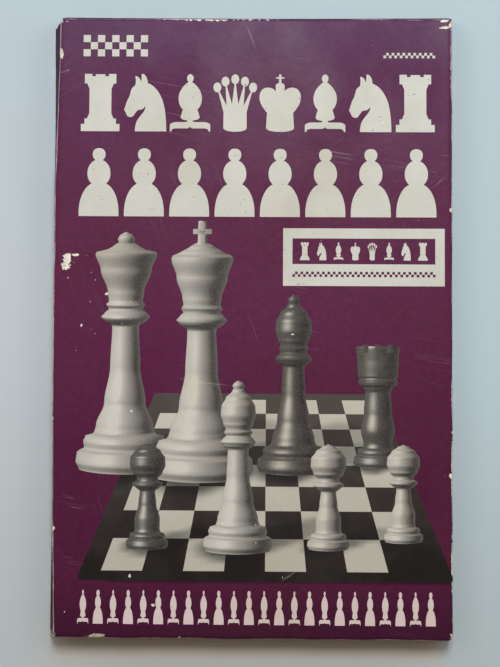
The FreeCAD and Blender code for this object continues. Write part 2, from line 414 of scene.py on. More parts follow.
def torn_patch(given):
    """A ragged patch round one place, where the printed layer has come away."""
    away = shift("DIVIDE", shift("SUBTRACT", given["Place"], given["Centre"]), given["Size"])
    rough = minus(grain(given["Place"], 700.0, 4.0, 0.65), 0.5)
    distance = plus(length(away), times(times(rough, 4.0), given["Ragged"]))
    return {"Mask": ramp(distance, 0.92, 1.0, 1.0, 0.0)}


def knocks(given):
    """Small flecks and hairline scratches over a printed surface."""
    place = given["Place"]
    knocked = bent(place, 900.0, 1.1 * MM)
    flecks = []  # from three sizes of cell, the finest of them in the gaps between the others
    for scale, largest, rarity in ((170.0, 0.075, 0.90), (430.0, 0.085, 0.98), (900.0, 0.13, 1.05)):
        cells = node("TexVoronoi", {"Vector": knocked, "Scale": scale})
        chance = plus(node("SeparateColor", {0: cells["Color"]})[0], times(given["Flecks"], 0.2))
        size = ramp(chance, rarity, rarity + 0.12, 0.0, largest)
        flecks.append(ramp(minus(size, cells["Distance"]), 0.0, 0.012))
    lines = []
    for turn, stretch in ((0.35, 60.0), (-0.9, 45.0), (1.4, 70.0)):
        streak = grain(drawn_out(place, turn, stretch), 520.0, 1.0)
        hair = ramp(apart(streak, 0.5), 0.0, 0.004, 1.0, 0.0)
        patch = ramp(grain(shift("ADD", place, (turn, 0, 0)), 38.0, 2.0), 0.6, 0.72)
        lines.append(times(hair, patch))
    return {"Fleck": reduce(most, flecks), "Scratch": times(reduce(most, lines), given["Scratches"])}


def card_fibre(given):
    """Pulped card: short fibres and soft clouds, for colour and height."""
    sized = scaled(given["Place"], given["Scale"])
    strands = [grain(drawn_out(sized, turn, 7.0), 4200.0, 2.0) for turn in (0.4, 1.5, 2.6)]
    return {"Fibre": ramp(reduce(most, strands), 0.45, 0.8), "Cloud": grain(sized, 160.0, 5.0, 0.6)}


def vinyl_grain(given):
    """The pebbled grain of embossed vinyl, as a height, and where it is rubbed."""
    cells = node("TexVoronoi", {"Vector": bent(given["Place"], 1100.0, 0.5 * MM),
                                "Scale": over(1.0, given["Pebble"])})
    return {"Height": ramp(cells["Distance"], 0.15, 0.75, 1.0, 0.0),
            "Rub": ramp(grain(given["Place"], 60.0, 4.0), 0.52, 0.75)}


NOWHERE = (0, 0, 0)
RUBBED_CREASE = new_group(
    "rubbed_crease", {"Place": NOWHERE, "Low": NOWHERE, "High": (1, 1, 1),
                      "Low Reach": NOWHERE, "High Reach": NOWHERE}, rubbed_crease)
TORN_PATCH = new_group(
    "torn_patch", {"Place": NOWHERE, "Centre": NOWHERE, "Size": (1, 1, 1), "Ragged": 0.5}, torn_patch)
KNOCKS = new_group("knocks", {"Place": NOWHERE, "Flecks": 0.5, "Scratches": 0.5}, knocks)
FIBRE = new_group("card_fibre", {"Place": NOWHERE, "Scale": 1.0}, card_fibre)
VINYL_GRAIN = new_group("vinyl_grain", {"Place": NOWHERE, "Pebble": 0.7 * MM}, vinyl_grain)

# -------- materials

BARE_CARD = (0.86, 0.81, 0.71)
RUBBED = (0.66, 0.44, 0.52)
PURPLE = (0.083, 0.0090, 0.042)
CREAM = (0.60, 0.595, 0.545)
DARK_INK = (0.030, 0.022, 0.020)


def new_material(name, roughness, specular=0.5):
    """A material, and the place on a piece that its pattern follows."""
    made = bpy.data.materials.new(name)
    made.use_nodes = True
    shader = made.node_tree.nodes["Principled BSDF"]
    shader.inputs["Roughness"].default_value = roughness
    shader.inputs["Specular IOR Level"].default_value = specular
    return made, node("TexCoord", {}, made.node_tree)["Object"]


def surfaced(made, colour, roughness=None, height=None, depth=0):
    """Gives a material its colour, roughness and relief, which is height times depth."""
    tree = made.node_tree
    wires = {"Base Color": colour}
    if roughness:
        wires["Roughness"] = roughness
    if height:
        wires["Normal"] = node("Bump", {"Height": height, "Distance": depth})["Normal"]
    for label, value in wires.items():
        tree.links.new(value, tree.nodes["Principled BSDF"].inputs[label])
    return made


# the cover's patches of lost print: the crease each is measured from, across and then along
# (-1, 1, or 0 for the middle), its place from there, its half sizes in millimetres, how ragged
PATCHES = (
    (-1, 2.6, 0, 16.5, 1.2, 2.1, 0.7),      # print lost beside the left crease
    (-1, 4.7, 0, 18.2, 1.0, 0.34, 0.6),
    (-1, -0.1, 1, -8.8, 0.36, 1.3, 0.5),
    (-1, 1.2, 1, -0.1, 0.5, 0.10, 1.3),
    (0, -9.0, 1, 0.16, 8.5, 0.10, 1.6),     # chips along the head
    (1, -1.2, 1, 0.1, 1.1, 0.14, 1.2),      # torn corner at the head
    (1, -1.2, 1, -1.5, 1.1, 0.22, 1.5),
    (1, 0.2, 1, -1.0, 0.22, 0.9, 1.2),
    (1, 0.3, -1, 0.6, 0.26, 1.3, 1.3),
    (1, 0.35, -1, 19.0, 0.18, 7.5, 0.6),    # card bared along the right crease
    (1, 0.35, -1, 44.0, 0.16, 8.0, 0.5),
    (-1, -0.4, -1, 1.1, 0.22, 0.8, 1.2),
    (-1, 10.3, -1, -0.1, 1.9, 0.34, 1.0),   # chips along the foot
    (-1, 26.5, -1, -0.3, 0.25, 0.2, 1.0),
    (-1, 31.8, -1, -0.3, 0.4, 0.2, 1.0),
    (1, 0.2, 0, 30.0, 0.22, 0.9, 0.9),
    (1, 0.2, 0, -38.0, 0.22, 1.2, 0.9),
    (-1, -0.2, 0, -24.0, 0.16, 0.9, 0.8),
    (-1, -0.2, 0, -52.0, 0.14, 0.5, 0.8),
)


def cover_damage(place):
    """Where the cover has lost its print. place is on the card before it was folded."""
    half_wide, half_long = PANEL_HALF.x, PANEL_HALF.y
    left, right = MIDDLE.x - half_wide, MIDDLE.x + half_wide
    reaches = {"Low Reach": mm(0.13, 0.12, 0), "High Reach": mm(0.15, 0.11, 0)}
    creases = effect(RUBBED_CREASE, place, **reaches,
                     Low=(left - 0.30 * MM, MIDDLE.y - half_long - 0.45 * MM, 0),
                     High=(right + 0.35 * MM, MIDDLE.y + half_long + 0.30 * MM, 0))["Mask"]
    thin = ramp(grain(place, 210.0, 3.0), 0.35, 0.65, 0.45, 1.0)
    line = ramp(apart(axes(place)["X"], left - 0.26 * MM), 0.05 * MM, 0.17 * MM, 1.0, 0.0)
    rubbed = most(times(creases, thin), times(line, thin))
    uneven = ramp(grain(place, 260.0, 5.0, 0.65), 0.40, 0.66, -0.55, 0.30)
    lost = ramp(plus(marked(place, "edge"), uneven), 0.62, 0.74)
    for side, across, end, along, wide, long, ragged in PATCHES:
        centre = (MIDDLE.x + (side * half_wide + across * MM),
                  MIDDLE.y + (end * half_long + along * MM), LID_LEVEL)
        size = (wide * MM, long * MM, 1)
        torn = effect(TORN_PATCH, place, Centre=centre, Size=size, Ragged=ragged)
        lost = most(lost, torn["Mask"])
    from_patch = length(shift("SUBTRACT", place, (left + 8 * MM, MIDDLE.y + 2 * MM, LID_LEVEL)))
    knocked = ramp(from_patch, 6 * MM, 22 * MM, 1.6, 0.45)
    marks = effect(KNOCKS, place, Flecks=knocked, Scratches=0.5)
    return lost, rubbed, marks["Fleck"], marks["Scratch"]


def cover_print(name, ink, roughness, specular=0.13):
    """A varnished ink on the cover, worn through to the card. ink(place) gives its colour."""
    made, place = new_material(name, roughness, specular)
    place = marked(place, "flat", "Vector")
    lost, rubbed, fleck, scratch = cover_damage(place)
    fibre = effect(FIBRE, place, Scale=1.0)["Fibre"]
    dirt = ramp(grain(place, 26.0, 6.0, 0.6), 0.42, 0.7, 0.0, 0.5)
    clean = ink(place)
    colour = mix(dirt, clean, shift("MULTIPLY", clean, (0.84, 0.78, 0.70)))
    # painted shade: the ink is darkened in a band just past each crease, where the card turns down away
    # from the light, easing off down the walls
    away = shift("ABSOLUTE", shift("SUBTRACT", place, MIDDLE))
    past_side, past_end, _ = axes(shift("SUBTRACT", away, PANEL_HALF))
    beyond = most(past_side, past_end)
    turned = times(ramp(beyond, 0.05 * MM, 0.40 * MM, 0.0, 0.65),
                   ramp(beyond, 0.8 * MM, 2.4 * MM, 1.0, 0.2))
    colour = mix(turned, colour, (0.016, 0.004, 0.011))
    colour = mix(times(scratch, 0.5), colour, BARE_CARD)
    colour = mix(rubbed, colour, RUBBED)
    gone = most(lost, times(fleck, 0.9))
    card = mix(fibre, BARE_CARD, (0.60, 0.52, 0.43))
    grime = ramp(grain(place, 900.0, 4.0, 0.7), 0.30, 0.50, 0.7, 0.0)
    card = mix(grime, card, (0.20, 0.15, 0.13))
    # painted shade: bared card within a few millimetres of the foot is darkened as if in shadow
    foot = MIDDLE.y - PANEL_HALF.y
    card_foot_shade = ramp(axes(place)["Y"], foot - 1 * MM, foot + 4 * MM, 0.75, 0.0)
    card = mix(card_foot_shade, card, (0.34, 0.25, 0.19))
    dull = ramp(grain(place, 45.0, 5.0), 0.35, 0.7, roughness - 0.05, roughness + 0.14)
    dull = most(dull, times(most(gone, rubbed), 0.85))
    skin = plus(times(grain(place, 130.0, 3.0), 1.4), times(fibre, 0.10))
    skin = minus(minus(skin, times(gone, 0.8)), times(scratch, 0.12))
    return surfaced(made, mix(gone, colour, card), dull, skin, 0.06 * MM)


def purple_ink(place):
    """A deep purple with a fine mottle, paler towards the head of the cover as painted light and darker at
    its foot as painted shade.
    """
    across, along, _ = axes(place)
    mottle = ramp(grain(place, 42.0, 5.0, 0.6), 0.3, 0.7, 0.0, 0.6)
    ink = mix(mottle, PURPLE, (0.090, 0.0095, 0.032))
    # painted light: paler, greyer purples towards the head stand in for the lamp's glare on the varnish
    # there; the greyish haze at the very head is part scuffing and part painted sheen
    for low, high, share, tint in ((-45 * MM, 5 * MM, 0.75, (0.112, 0.0125, 0.056)),
                                   (15 * MM, PANEL_HALF.y, 0.5, (0.082, 0.018, 0.078)),
                                   (58 * MM, PANEL_HALF.y, 0.22, (0.13, 0.085, 0.17))):
        ink = mix(ramp(along, low, high, 0.0, share), ink, tint)
    fine = ramp(grain(place, 620.0, 5.0, 0.8), 0.40, 0.62)
    ink = mix(fine, ink, shift("MULTIPLY", ink, (0.80, 0.86, 0.88)))
    blue = ramp(grain(shift("ADD", place, (3, 1, 0)), 300.0, 4.0, 0.7), 0.45, 0.65, 0.0, 0.5)
    ink = mix(blue, ink, shift("MULTIPLY", ink, (0.94, 1.06, 1.12)))
    # painted shade: the purple darkens towards the foot; the dark band below the pictured board is the
    # picture's own printed shadow
    foot = ramp(along, -PANEL_HALF.y - 1 * MM, -PANEL_HALF.y + 16 * MM, 0.5, 0.0)
    below_board = ramp(apart(along, MIDDLE.y - 64.9 * MM), 0.4 * MM, 1.6 * MM, 0.8, 0.0)
    shadow = times(below_board, ramp(across, -40 * MM, -34 * MM))
    return mix(most(foot, shadow), ink, (0.020, 0.003, 0.012))


def side_ink(place):
    """The purple of the walls, painted darker than the panel as shade and blotched darker still by
    handling.
    """
    # painted shade over the whole wall, deeper in blotches of grime
    grime_and_shade = ramp(grain(place, 120.0, 5.0, 0.65), 0.3, 0.7, 0.25, 0.7)
    return mix(grime_and_shade, (0.070, 0.0085, 0.040), (0.034, 0.006, 0.022))


def cream_ink(place):
    """Cream, yellowed and specked, and pinker along the foot."""
    mottle = ramp(grain(place, 70.0, 6.0, 0.65), 0.35, 0.75)
    stain = ramp(grain(shift("ADD", place, (1, 2, 0)), 34.0, 3.0), 0.6, 0.78, 0.0, 0.5)
    speck = ramp(grain(place, 1300.0, 2.0), 0.70, 0.74, 0.0, 0.8)
    ink = mix(mottle, CREAM, (0.545, 0.535, 0.475))
    ink = mix(stain, ink, (0.46, 0.42, 0.335))
    ink = mix(speck, ink, (0.16, 0.11, 0.07))
    return mix(ramp(axes(place)["Y"], -68 * MM, -60 * MM, 0.55, 0.0), ink, (0.70, 0.50, 0.50))


def grey_ink(place):
    """The tone of a black and white picture, with the dots it is printed in."""
    speckle = times(minus(grain(place, 2600.0, 2.0), 0.5), 0.16)
    cloud = times(minus(grain(place, 190.0, 4.0), 0.5), 0.10)
    level = plus(marked(place, "tone"), plus(speckle, cloud), clamp=True)
    return mix(level, (0.022, 0.018, 0.018), (0.60, 0.57, 0.51))


def board_ink(near, far, place):
    """An ink of the pictured board: one colour near its foot and another far off, under shadows."""
    distance = ramp(axes(place)["Y"], -66 * MM, -18 * MM)
    cloud = ramp(grain(place, 90.0, 5.0), 0.3, 0.7, -0.12, 0.12)
    plain = mix(plus(distance, cloud, clamp=True), near, far)
    return mix(marked(place, "shade"), plain, (0.012, 0.010, 0.010))


def card_material(name, light, dark):
    """Bare pulped card."""
    made, place = new_material(name, 0.88, 0.25)
    fibre = effect(FIBRE, place, Scale=0.8)
    cloudy = mix(ramp(fibre["Cloud"], 0.3, 0.75), light, dark)
    colour = mix(times(fibre["Fibre"], 0.5), cloudy, tuple(c * 0.55 for c in dark))
    return surfaced(made, colour, height=fibre["Fibre"], depth=0.03 * MM)


def wallet_vinyl():
    """Soft black embossed vinyl, rubbed shiny and pale where it is handled."""
    made, place = new_material("wallet_vinyl", 0.42, 0.35)
    skin = effect(VINYL_GRAIN, place, Pebble=0.75 * MM)
    colour = mix(skin["Rub"], (0.014, 0.011, 0.012), (0.028, 0.023, 0.024))
    return surfaced(made, colour, ramp(skin["Rub"], 0.0, 1.0, 0.52, 0.34), skin["Height"], 0.05 * MM)


def board_material(name, start_x, towards):
    """Printed vinyl: a dark border round squares, from the edge where the first file starts."""
    made, place = new_material(name, 0.38, 0.35)
    at = axes(place)
    across = times(minus(at["X"], start_x), towards / PITCH)
    along = over(minus(at["Y"], FIELD_FOOT), PITCH)
    inside = least(*(minus(count / 2, apart(value, count / 2))
                     for value, count in ((across, COLUMNS), (along, RANKS))))
    pale = most(times(chequered(across, along), above(inside, 0.0)), band(inside, -0.11, -0.07))
    skin = effect(VINYL_GRAIN, place, Pebble=0.45 * MM)
    dark = mix(skin["Rub"], (0.020, 0.015, 0.014), (0.034, 0.026, 0.024))
    light = mix(skin["Rub"], (0.62, 0.59, 0.52), (0.52, 0.49, 0.42))
    return surfaced(made, mix(pale, dark, light), ramp(skin["Rub"], 0.0, 1.0, 0.44, 0.32),
                    skin["Height"], 0.02 * MM)


def title_vinyl():
    """Cream vinyl with a dark line set in from its edge."""
    made, place = new_material("title_vinyl", 0.4)
    centre, half = (TITLE_LOW + TITLE_HIGH) / 2, (TITLE_HIGH - TITLE_LOW) / 2
    at = axes(place)
    # the right strip lies over the left one, so one rule serves both
    inside = least(minus(half.x, apart(at["X"], centre.x)), minus(half.y, apart(at["Y"], centre.y)))
    skin = effect(VINYL_GRAIN, place, Pebble=0.45 * MM)
    cream = mix(skin["Rub"], (0.64, 0.61, 0.54), (0.54, 0.50, 0.43))
    colour = mix(band(inside, 1.2 * MM, 1.6 * MM), cream, DARK_INK)
    return surfaced(made, colour, height=skin["Height"], depth=0.015 * MM)


def disc_styrene():
    """Cream styrene, slightly yellowed, with fine handling marks."""
    made, place = new_material("disc_styrene", 0.28)
    scratch = effect(KNOCKS, place, Flecks=0.0, Scratches=1.0)["Scratch"]
    cloud = ramp(grain(place, 120.0, 4.0), 0.3, 0.75)
    cream = mix(cloud, (0.68, 0.66, 0.59), (0.60, 0.565, 0.48))
    return surfaced(made, mix(times(scratch, 0.25), cream, (0.35, 0.31, 0.26)),
                    ramp(cloud, 0.0, 1.0, 0.24, 0.36), plus(grain(place, 700.0, 2.0), scratch), 0.012 * MM)


def disc_ink():
    """Dark hot-stamped ink, thin in places."""
    made, place = new_material("disc_ink", 0.5)
    thin = ramp(grain(place, 500.0, 4.0), 0.5, 0.75)
    return surfaced(made, mix(thin, (0.020, 0.016, 0.016), (0.075, 0.065, 0.06)))


def leaflet_paper():
    """Matt paper with a small chequered diagram printed on it."""
    made, place = new_material("leaflet_paper", 0.82, 0.3)
    centre = (LEAFLET_LOW + LEAFLET_HIGH) / 2 + Vector((0, 18 * MM, 0))
    square = 5.5 * MM
    at = axes(shift("DIVIDE", shift("SUBTRACT", place, centre), (square, square, 1)))
    reach = most(sums("ABSOLUTE", at["X"]), sums("ABSOLUTE", at["Y"]))
    edge = RANKS / 2
    rule = band(reach, edge + 0.15, edge + 0.25)
    printed = most(times(chequered(at["X"], at["Y"]), below(reach, edge)), rule)
    fibre = effect(FIBRE, place, Scale=1.4)
    paper = mix(fibre["Cloud"], (0.70, 0.67, 0.59), (0.60, 0.56, 0.47))
    return surfaced(made, mix(times(printed, 0.8), paper, (0.08, 0.03, 0.06)),
                    height=fibre["Fibre"], depth=0.01 * MM)


COVER_PURPLE = cover_print("cover_purple", purple_ink, 0.40)
COVER_CREAM = cover_print("cover_cream", cream_ink, 0.46)
COVER_GREY = cover_print("cover_grey", grey_ink, 0.42)
COVER_DARK = cover_print(
    "cover_dark", partial(board_ink, (0.014, 0.0105, 0.0095), (0.075, 0.062, 0.056)), 0.40)
COVER_PALE = cover_print(
    "cover_pale", partial(board_ink, (0.45, 0.43, 0.36), (0.53, 0.51, 0.45)), 0.44)
COVER_SIDES = cover_print("cover_sides", side_ink, 0.55, 0.05)
CARD_INSIDE = card_material("bare_card", (0.52, 0.46, 0.38), (0.42, 0.36, 0.29))
GREY_BOARD = card_material("grey_board", (0.33, 0.31, 0.28), (0.25, 0.23, 0.21))
CARD_OUTSIDE = card_material("tray_card_outside", (0.50, 0.44, 0.36), (0.40, 0.34, 0.27))
WALLET_VINYL = wallet_vinyl()
TITLE_VINYL = title_vinyl()
DISC_STYRENE = disc_styrene()
DISC_INK = disc_ink()
LEAFLET_PAPER = leaflet_paper()
BOARD_A_TO_D, FLAPS_A_TO_D = (
    board_material(name, STRIPS_LOW.x, 1) for name in ("board_a_to_d", "flaps_a_to_d"))
BOARD_E_TO_H, FLAPS_E_TO_H = (
    board_material(name, STRIPS_HIGH.x, -1) for name in ("board_e_to_h", "flaps_e_to_h"))

# -------- the card box


def wave(place, phase):
    """A slow uneven wave, from -1 to 1, for edges that are no longer straight."""
    return 0.6 * math.sin(place / (4.3 * MM) + phase) + 0.4 * math.sin(place / (1.9 * MM) + 2 * phase)


def spread(half, near, count):
    """Grid places from -half to half, with a line at each distance in near from both ends."""
    inner = half - near[-1]
    ends = [half] + [half - step for step in near[:-1]]
    middle = [inner * (2 * i / count - 1) for i in range(count + 1)]
    return sorted([-end for end in ends] + middle + ends)


def lined_sheet(name, xs, ys):
    """A flat sheet at z 0 with its grid lines at these places."""
    columns, rows = len(xs) - 1, len(ys) - 1
    piece = sheet_at(name, (0, 0), (columns, rows), 0, columns, rows)
    return reshape(piece, lambda p: Vector((xs[round(p.x)], ys[round(p.y)], 0)))


def folded_card(name, half, drops):
    """A panel at z 0 with four walls folded straight down from it, and glue tabs on the side walls.

    The end walls are as wide as the panel, and the side walls stop a card's thickness short.
    """
    near = (CARD, *mm(1.4, 2.6, 4.4))
    piece = lined_sheet(name, spread(half.x, near, 44), spread(half.y, near, 70))
    stop = half.y - CARD
    open_piece(piece)
    for axis, reach in ((0, stop), (1, half.x)):
        for side in (-1, 1):
            pick(piece, "EDGE", lambda p: abs(p[axis] - side * half[axis]) < CLOSE
                 and abs(p[1 - axis]) < reach + CLOSE)
            for upper, lower in zip((0,) + drops, drops):
                extrude(0, 0, upper - lower)
    # the glue tabs start below the crease and stop short of the cut edge
    for side in (-1, 1):
        for end in (-1, 1):
            pick(piece, "EDGE", lambda p: abs(p.x - side * half.x) < CLOSE
                 and abs(p.y - end * stop) < CLOSE and drops[4] - CLOSE < -p.z < drops[-2] + CLOSE)
            for _ in range(3):
                extrude(-side * 4 * MM, 0, 0)
    face_outwards()
    return piece


def crease_out(drop, lean, radius):
    """How far out a wall stands at a drop below its crease. lean is its slope."""
    turned = math.pi / 2 - math.atan(lean)
    if drop >= radius * (1 - math.cos(turned)):
        return drop * lean
    return radius * math.sin(math.acos(1 - drop / radius)) - radius * math.tan(turned / 2)


def panel_level(x, y):
    """The cover's surface, which has sunk a little in its middle."""
    across = min(1, abs(x - MIDDLE.x) / PANEL_HALF.x)
    along = min(1, abs(y - MIDDLE.y) / PANEL_HALF.y)
    return LID_LEVEL - DISH * (1 - across ** 2) * (1 - along ** 2)


def knock(point, corner, towards, limit, drop):
    """Pushes a point back behind a slanting line across a corner, and down where it is high."""
    beyond = (point - corner).dot(towards) + limit
    beyond += 0.22 * MM * wave(3 * (point.x - point.y), 3000 * drop)
    if beyond > 0:
        point = point - towards * beyond
        point.z -= 0.45 * beyond * max(0, 1 - drop / (4 * MM))
    return point


def bulge(y):
    """How far the lid's left crease has bulged out at a place along it."""
    foot = 1 - min(0, y / (80 * MM)) ** 2
    head = 1 - 0.85 * eased(y, 30 * MM, 76 * MM)
    return 1.1 * MM * foot * head


def mark_flat(piece, unfolded):
    """Keeps each point's place on the flat card, for the print and its wear to follow."""
    keep(piece, "flat", "FLOAT_VECTOR", [part for v in piece.data.vertices for part in unfolded(v.co)])


def edge_wear(place, half, deep):
    """How near a point of the walls is to a corner or to the walls' cut edge."""
    drop = -place.z
    if drop <= BENT:
        return 0
    corner = 1 - min(1, max(half.x - abs(place.x), half.y - abs(place.y) - CARD) / (1.3 * MM))
    rim = 1 - min(1, (deep - drop) / (1.0 * MM))
    return max(corner, 0.85 * rim)


# the lid's knocks: the corner's side and end, the way that the knock faces, how much it cuts off
# in millimetres, and how that eases down the wall
LID_KNOCKS = (
    (-1, 1, (-0.89, 0.45, 0), 0.68, 0.6),
    (1, 1, (0.6, 0.8, 0), 0.45, 0.7),
    (1, -1, (0.75, -0.66, 0), 1.0, 0.35),
    (1, -1, (0.96, -0.28, 0), 0.42, 0.2),
    (1, -1, (0.30, -0.95, 0), 0.42, 0.2),
    (-1, -1, (-0.8, -0.6, 0), 0.7, 0.7),
)


def make_lid():
    """The printed lid: a panel, four leaning walls and the tabs that hold its corners."""
    drops = mm(0.06, 0.22, 0.45, 0.72, 1.0, 2.4, 3.9, 5.4, 6.85, 7.65)
    half, deep = PANEL_HALF, drops[-1]
    low_lean = [(MIDDLE[i] - half[i] - LID_LOW[i] - LEAN) / deep for i in (0, 1)]
    high_lean = [(LID_HIGH[i] - MIDDLE[i] - half[i] - LEAN) / deep for i in (0, 1)]

    def walls(p):
        return abs(p.x) > half.x - CLOSE, abs(p.y) > half.y - CLOSE

    def unfolded(p):
        drop = -p.z
        on_side, on_end = walls(p)
        x = p.x + math.copysign(drop, p.x) if on_side and not on_end else p.x
        y = p.y + math.copysign(drop, p.y) if on_end else p.y
        return Vector((x + MIDDLE.x, y + MIDDLE.y, LID_LEVEL))

    def shape(p):
        drop = -p.z
        on_side, on_end = walls(p)
        foot_share = (1 - p.y / half.y) / 2
        across = low_lean[0] * (1 - 0.22 * foot_share) if p.x < 0 else high_lean[0]
        along = low_lean[1] if p.y < 0 else high_lean[1]
        if p.x < 0 < p.y:  # this corner has split, and its walls lean apart
            opened = eased(drop, 0, 1.2 * MM)
            if on_side and not on_end:
                along *= 1 - opened * eased(p.y, half.y - 12 * MM, half.y - CARD)
            if on_end:
                across *= 1 - opened * eased(-p.x, half.x - 8 * MM, half.x)
        # between their corners the walls sag inwards towards their cut edge
        slack_x = 0.35 * MM * math.cos(1.5 * p.y / half.y) * (0.6 + 0.4 * math.cos(9 * p.y / half.y))
        slack_y = 0.25 * MM * math.cos(1.5 * p.x / half.x)
        out_x = crease_out(drop, across, CREASE) - slack_x * drop / deep
        out_y = crease_out(drop, along, CREASE) - slack_y * drop / deep
        x = p.x * (1 + out_x / half.x)
        y = p.y * (1 + out_y / half.y)
        # the left crease bulges and the others waver, less and less down the walls
        kept = 1 - drop / deep
        left, right = eased(-p.x / half.x, 0.6, 1), eased(p.x / half.x, 0.9, 1)
        foot, head = eased(-p.y / half.y, 0.93, 1), eased(p.y / half.y, 0.93, 1)
        x -= kept * left * (bulge(p.y) + 0.06 * MM * wave(p.y, 0.4))
        x += kept * right * 0.05 * MM * wave(p.y, 1.7)
        y -= (0.4 + 0.6 * kept) * foot * 0.13 * MM * (wave(p.x, 2.9) - 1)
        y += kept * head * 0.06 * MM * wave(p.x, 0.9)
        z = panel_level(x + MIDDLE.x, y + MIDDLE.y) - drop
        if on_side and abs(p.y) < half.y - 5 * MM:
            z += 0.10 * MM * drop / deep * (1 + math.sin(p.y / (11 * MM)))
        moved = Vector((x, y, z))
        inner = CARD if drop > BENT and not on_side and not on_end else 0  # on a glue tab
        for side, end, towards, limit, ease in LID_KNOCKS:
            corner = Vector((side * half.x, end * half.y, 0))
            moved = knock(moved, corner, Vector(towards), limit * MM + inner - ease * drop, drop)
        return moved + Vector((MIDDLE.x, MIDDLE.y, 0))

    piece = painted(folded_card("lid_card", half, drops), COVER_PURPLE, COVER_SIDES, CARD_INSIDE)
    for face in piece.data.polygons:
        if face.center.z < -BENT:
            face.material_index = 1
    keep(piece, "edge", "FLOAT", [edge_wear(v.co, half, deep) for v in piece.data.vertices])
    mark_flat(piece, unfolded)
    reshape(piece, shape)
    smooth(thicken(piece, CARD, rim=2, inside=2))
    dress(piece, "lid", "printed_card", "box_lid")


def make_tray():
    """The plain tray that the lid slides down over."""
    drops = mm(0.06, 0.22, 0.45, 0.72, 1.0, 2.2, 3.6, 5.0, 6.5, 7.28)
    half = TRAY_HALF

    def shape(p):
        drop = -p.z
        slack = 0.22 * MM * drop / drops[-1]
        out = crease_out(drop, 0.0, CREASE)
        x = p.x * (1 + (out - slack * math.cos(1.5 * p.y / half.y)) / half.x)
        y = p.y * (1 + (out - slack * math.cos(1.5 * p.x / half.x)) / half.y)
        return Vector((x + MIDDLE.x, y + MIDDLE.y, TRAY_LOW.z + drop))

    piece = painted(folded_card("tray_card", half, drops), CARD_OUTSIDE, CARD_INSIDE)
    turn_faces(reshape(piece, shape))
    smooth(thicken(piece, CARD, rim=1, inside=1))
    dress(piece, "tray", "bare_card", "box_tray")


# -------- what is printed on the cover

INK = 0.06 * MM  # thickness of a printed shape, most of it sunk in the card
GLYPHS = {"rook": "♖", "knight": "♘", "bishop": "♗", "queen": "♕", "king": "♔", "pawn": "♙"}
BACK_RANK = ("rook", "knight", "bishop", "queen", "king", "bishop", "knight", "rook")


def chess_symbol(kind, solid, low, high):
    """A plain chess symbol as a flat shape between two corners. solid has no inner lines."""
    drawn = add("symbol", bpy.ops.object.text_add).data
    drawn.body = GLYPHS[kind]
    drawn.resolution_u = 5
    bpy.ops.object.convert(target="CURVE")
    if solid:
        lines = bpy.context.object.data.splines
        places = [[point.co.x for point in line.bezier_points] for line in lines]
        spans = [max(xs) - min(xs) for xs in places]
        for line in [line for line, wide in zip(lines, spans) if wide < max(spans)]:
            lines.remove(line)
    bpy.ops.object.convert(target="MESH")
    piece = bpy.context.object
    xs, ys, _ = zip(*(v.co for v in piece.data.vertices))
    left, foot = min(xs), min(ys)
    wide, tall = (high[0] - low[0]) / (max(xs) - left), (high[1] - low[1]) / (max(ys) - foot)
    reshape(piece, lambda p: Vector(((p.x - left) * wide + low[0], (p.y - foot) * tall + low[1], 0)))
    if piece.data.polygons[0].normal.z < 0:
        turn_faces(piece)
    return piece


def on_cover(x, y):
    """A place on the cover, from millimetres right of and above its middle."""
    return (MIDDLE.x + x * MM, MIDDLE.y + y * MM)


def printed(name, shapes, layer, material):
    """Lays flat shapes on the cover as one thin layer of ink."""
    piece = painted(joined("cover_" + name, shapes), material)
    thicken(piece, INK)
    mark_flat(piece, lambda p: Vector((p.x, p.y, LID_LEVEL)))
    reshape(piece, lambda p: Vector((p.x, p.y, p.z + panel_level(p.x, p.y) + layer * MM)))
    dress(piece, "lid", "printed_card", "box_lid")


def patch(low, high, columns=1, rows=1):
    """A flat rectangle on the cover, between corners in millimetres from its middle."""
    return sheet_at("patch", on_cover(*low), on_cover(*high), 0, columns, rows)


def symbol_row(kinds, left, right, foot, tall, fill):
    """A row of solid chess symbols, each filling a share of its equal place."""
    step = (right - left) / len(kinds)
    shapes = []
    for i, kind in enumerate(kinds):
        middle, half = left + (i + 0.5) * step, step * fill[kind] / 2
        low, high = on_cover(middle - half, foot), on_cover(middle + half, foot + tall)
        shapes.append(chess_symbol(kind, True, low, high))
    return shapes


def chequer(left, foot, columns, rows, size):
    """Every other square of a small flat chequered band."""
    corners = [(left + i * size, foot + j * size)
               for i in range(columns) for j in range(rows) if (i + j) % 2 == 0]
    return [patch(low, (low[0] + size, low[1] + size)) for low in corners]


def print_headings():
    """Cream rows in place of titles: the back rank, the pawns, a small band and a slim border."""
    wide = {"rook": 0.86, "knight": 0.94, "bishop": 0.90, "queen": 0.97, "king": 0.92, "pawn": 0.88}
    shapes = symbol_row(BACK_RANK, -45.9, 46.8, 50.1, 14.9, wide)
    shapes += symbol_row(("pawn",) * 8, -46.1, 47.1, 28.1, 17.6, wide)
    shapes += chequer(-44.6, 69.6, 9, 3, 1.85)
    shapes += chequer(32.8, 69.3, 19, 2, 0.7)
    slim = {"pawn": 0.66, "bishop": 0.74}
    shapes += symbol_row(("bishop", "pawn") * 12, -45.0, 46.8, -75.6, 8.5, slim)
    printed("headings", shapes, 0.03, COVER_CREAM)


# kind, middle, foot and height of each pictured piece in millimetres, and whether it is dark
FAR_PIECES = (("queen", -33.0, -38.0, 62.0, False), ("king", -13.5, -40.0, 67.0, False),
              ("bishop", 10.0, -38.0, 46.0, True), ("rook", 31.5, -36.0, 31.0, True))
NEAR_PIECES = (("pawn", -27.0, -57.0, 27.0, True), ("bishop", -4.0, -58.0, 44.0, False),
               ("pawn", 19.0, -57.0, 27.0, False), ("pawn", 38.0, -55.0, 25.0, False))


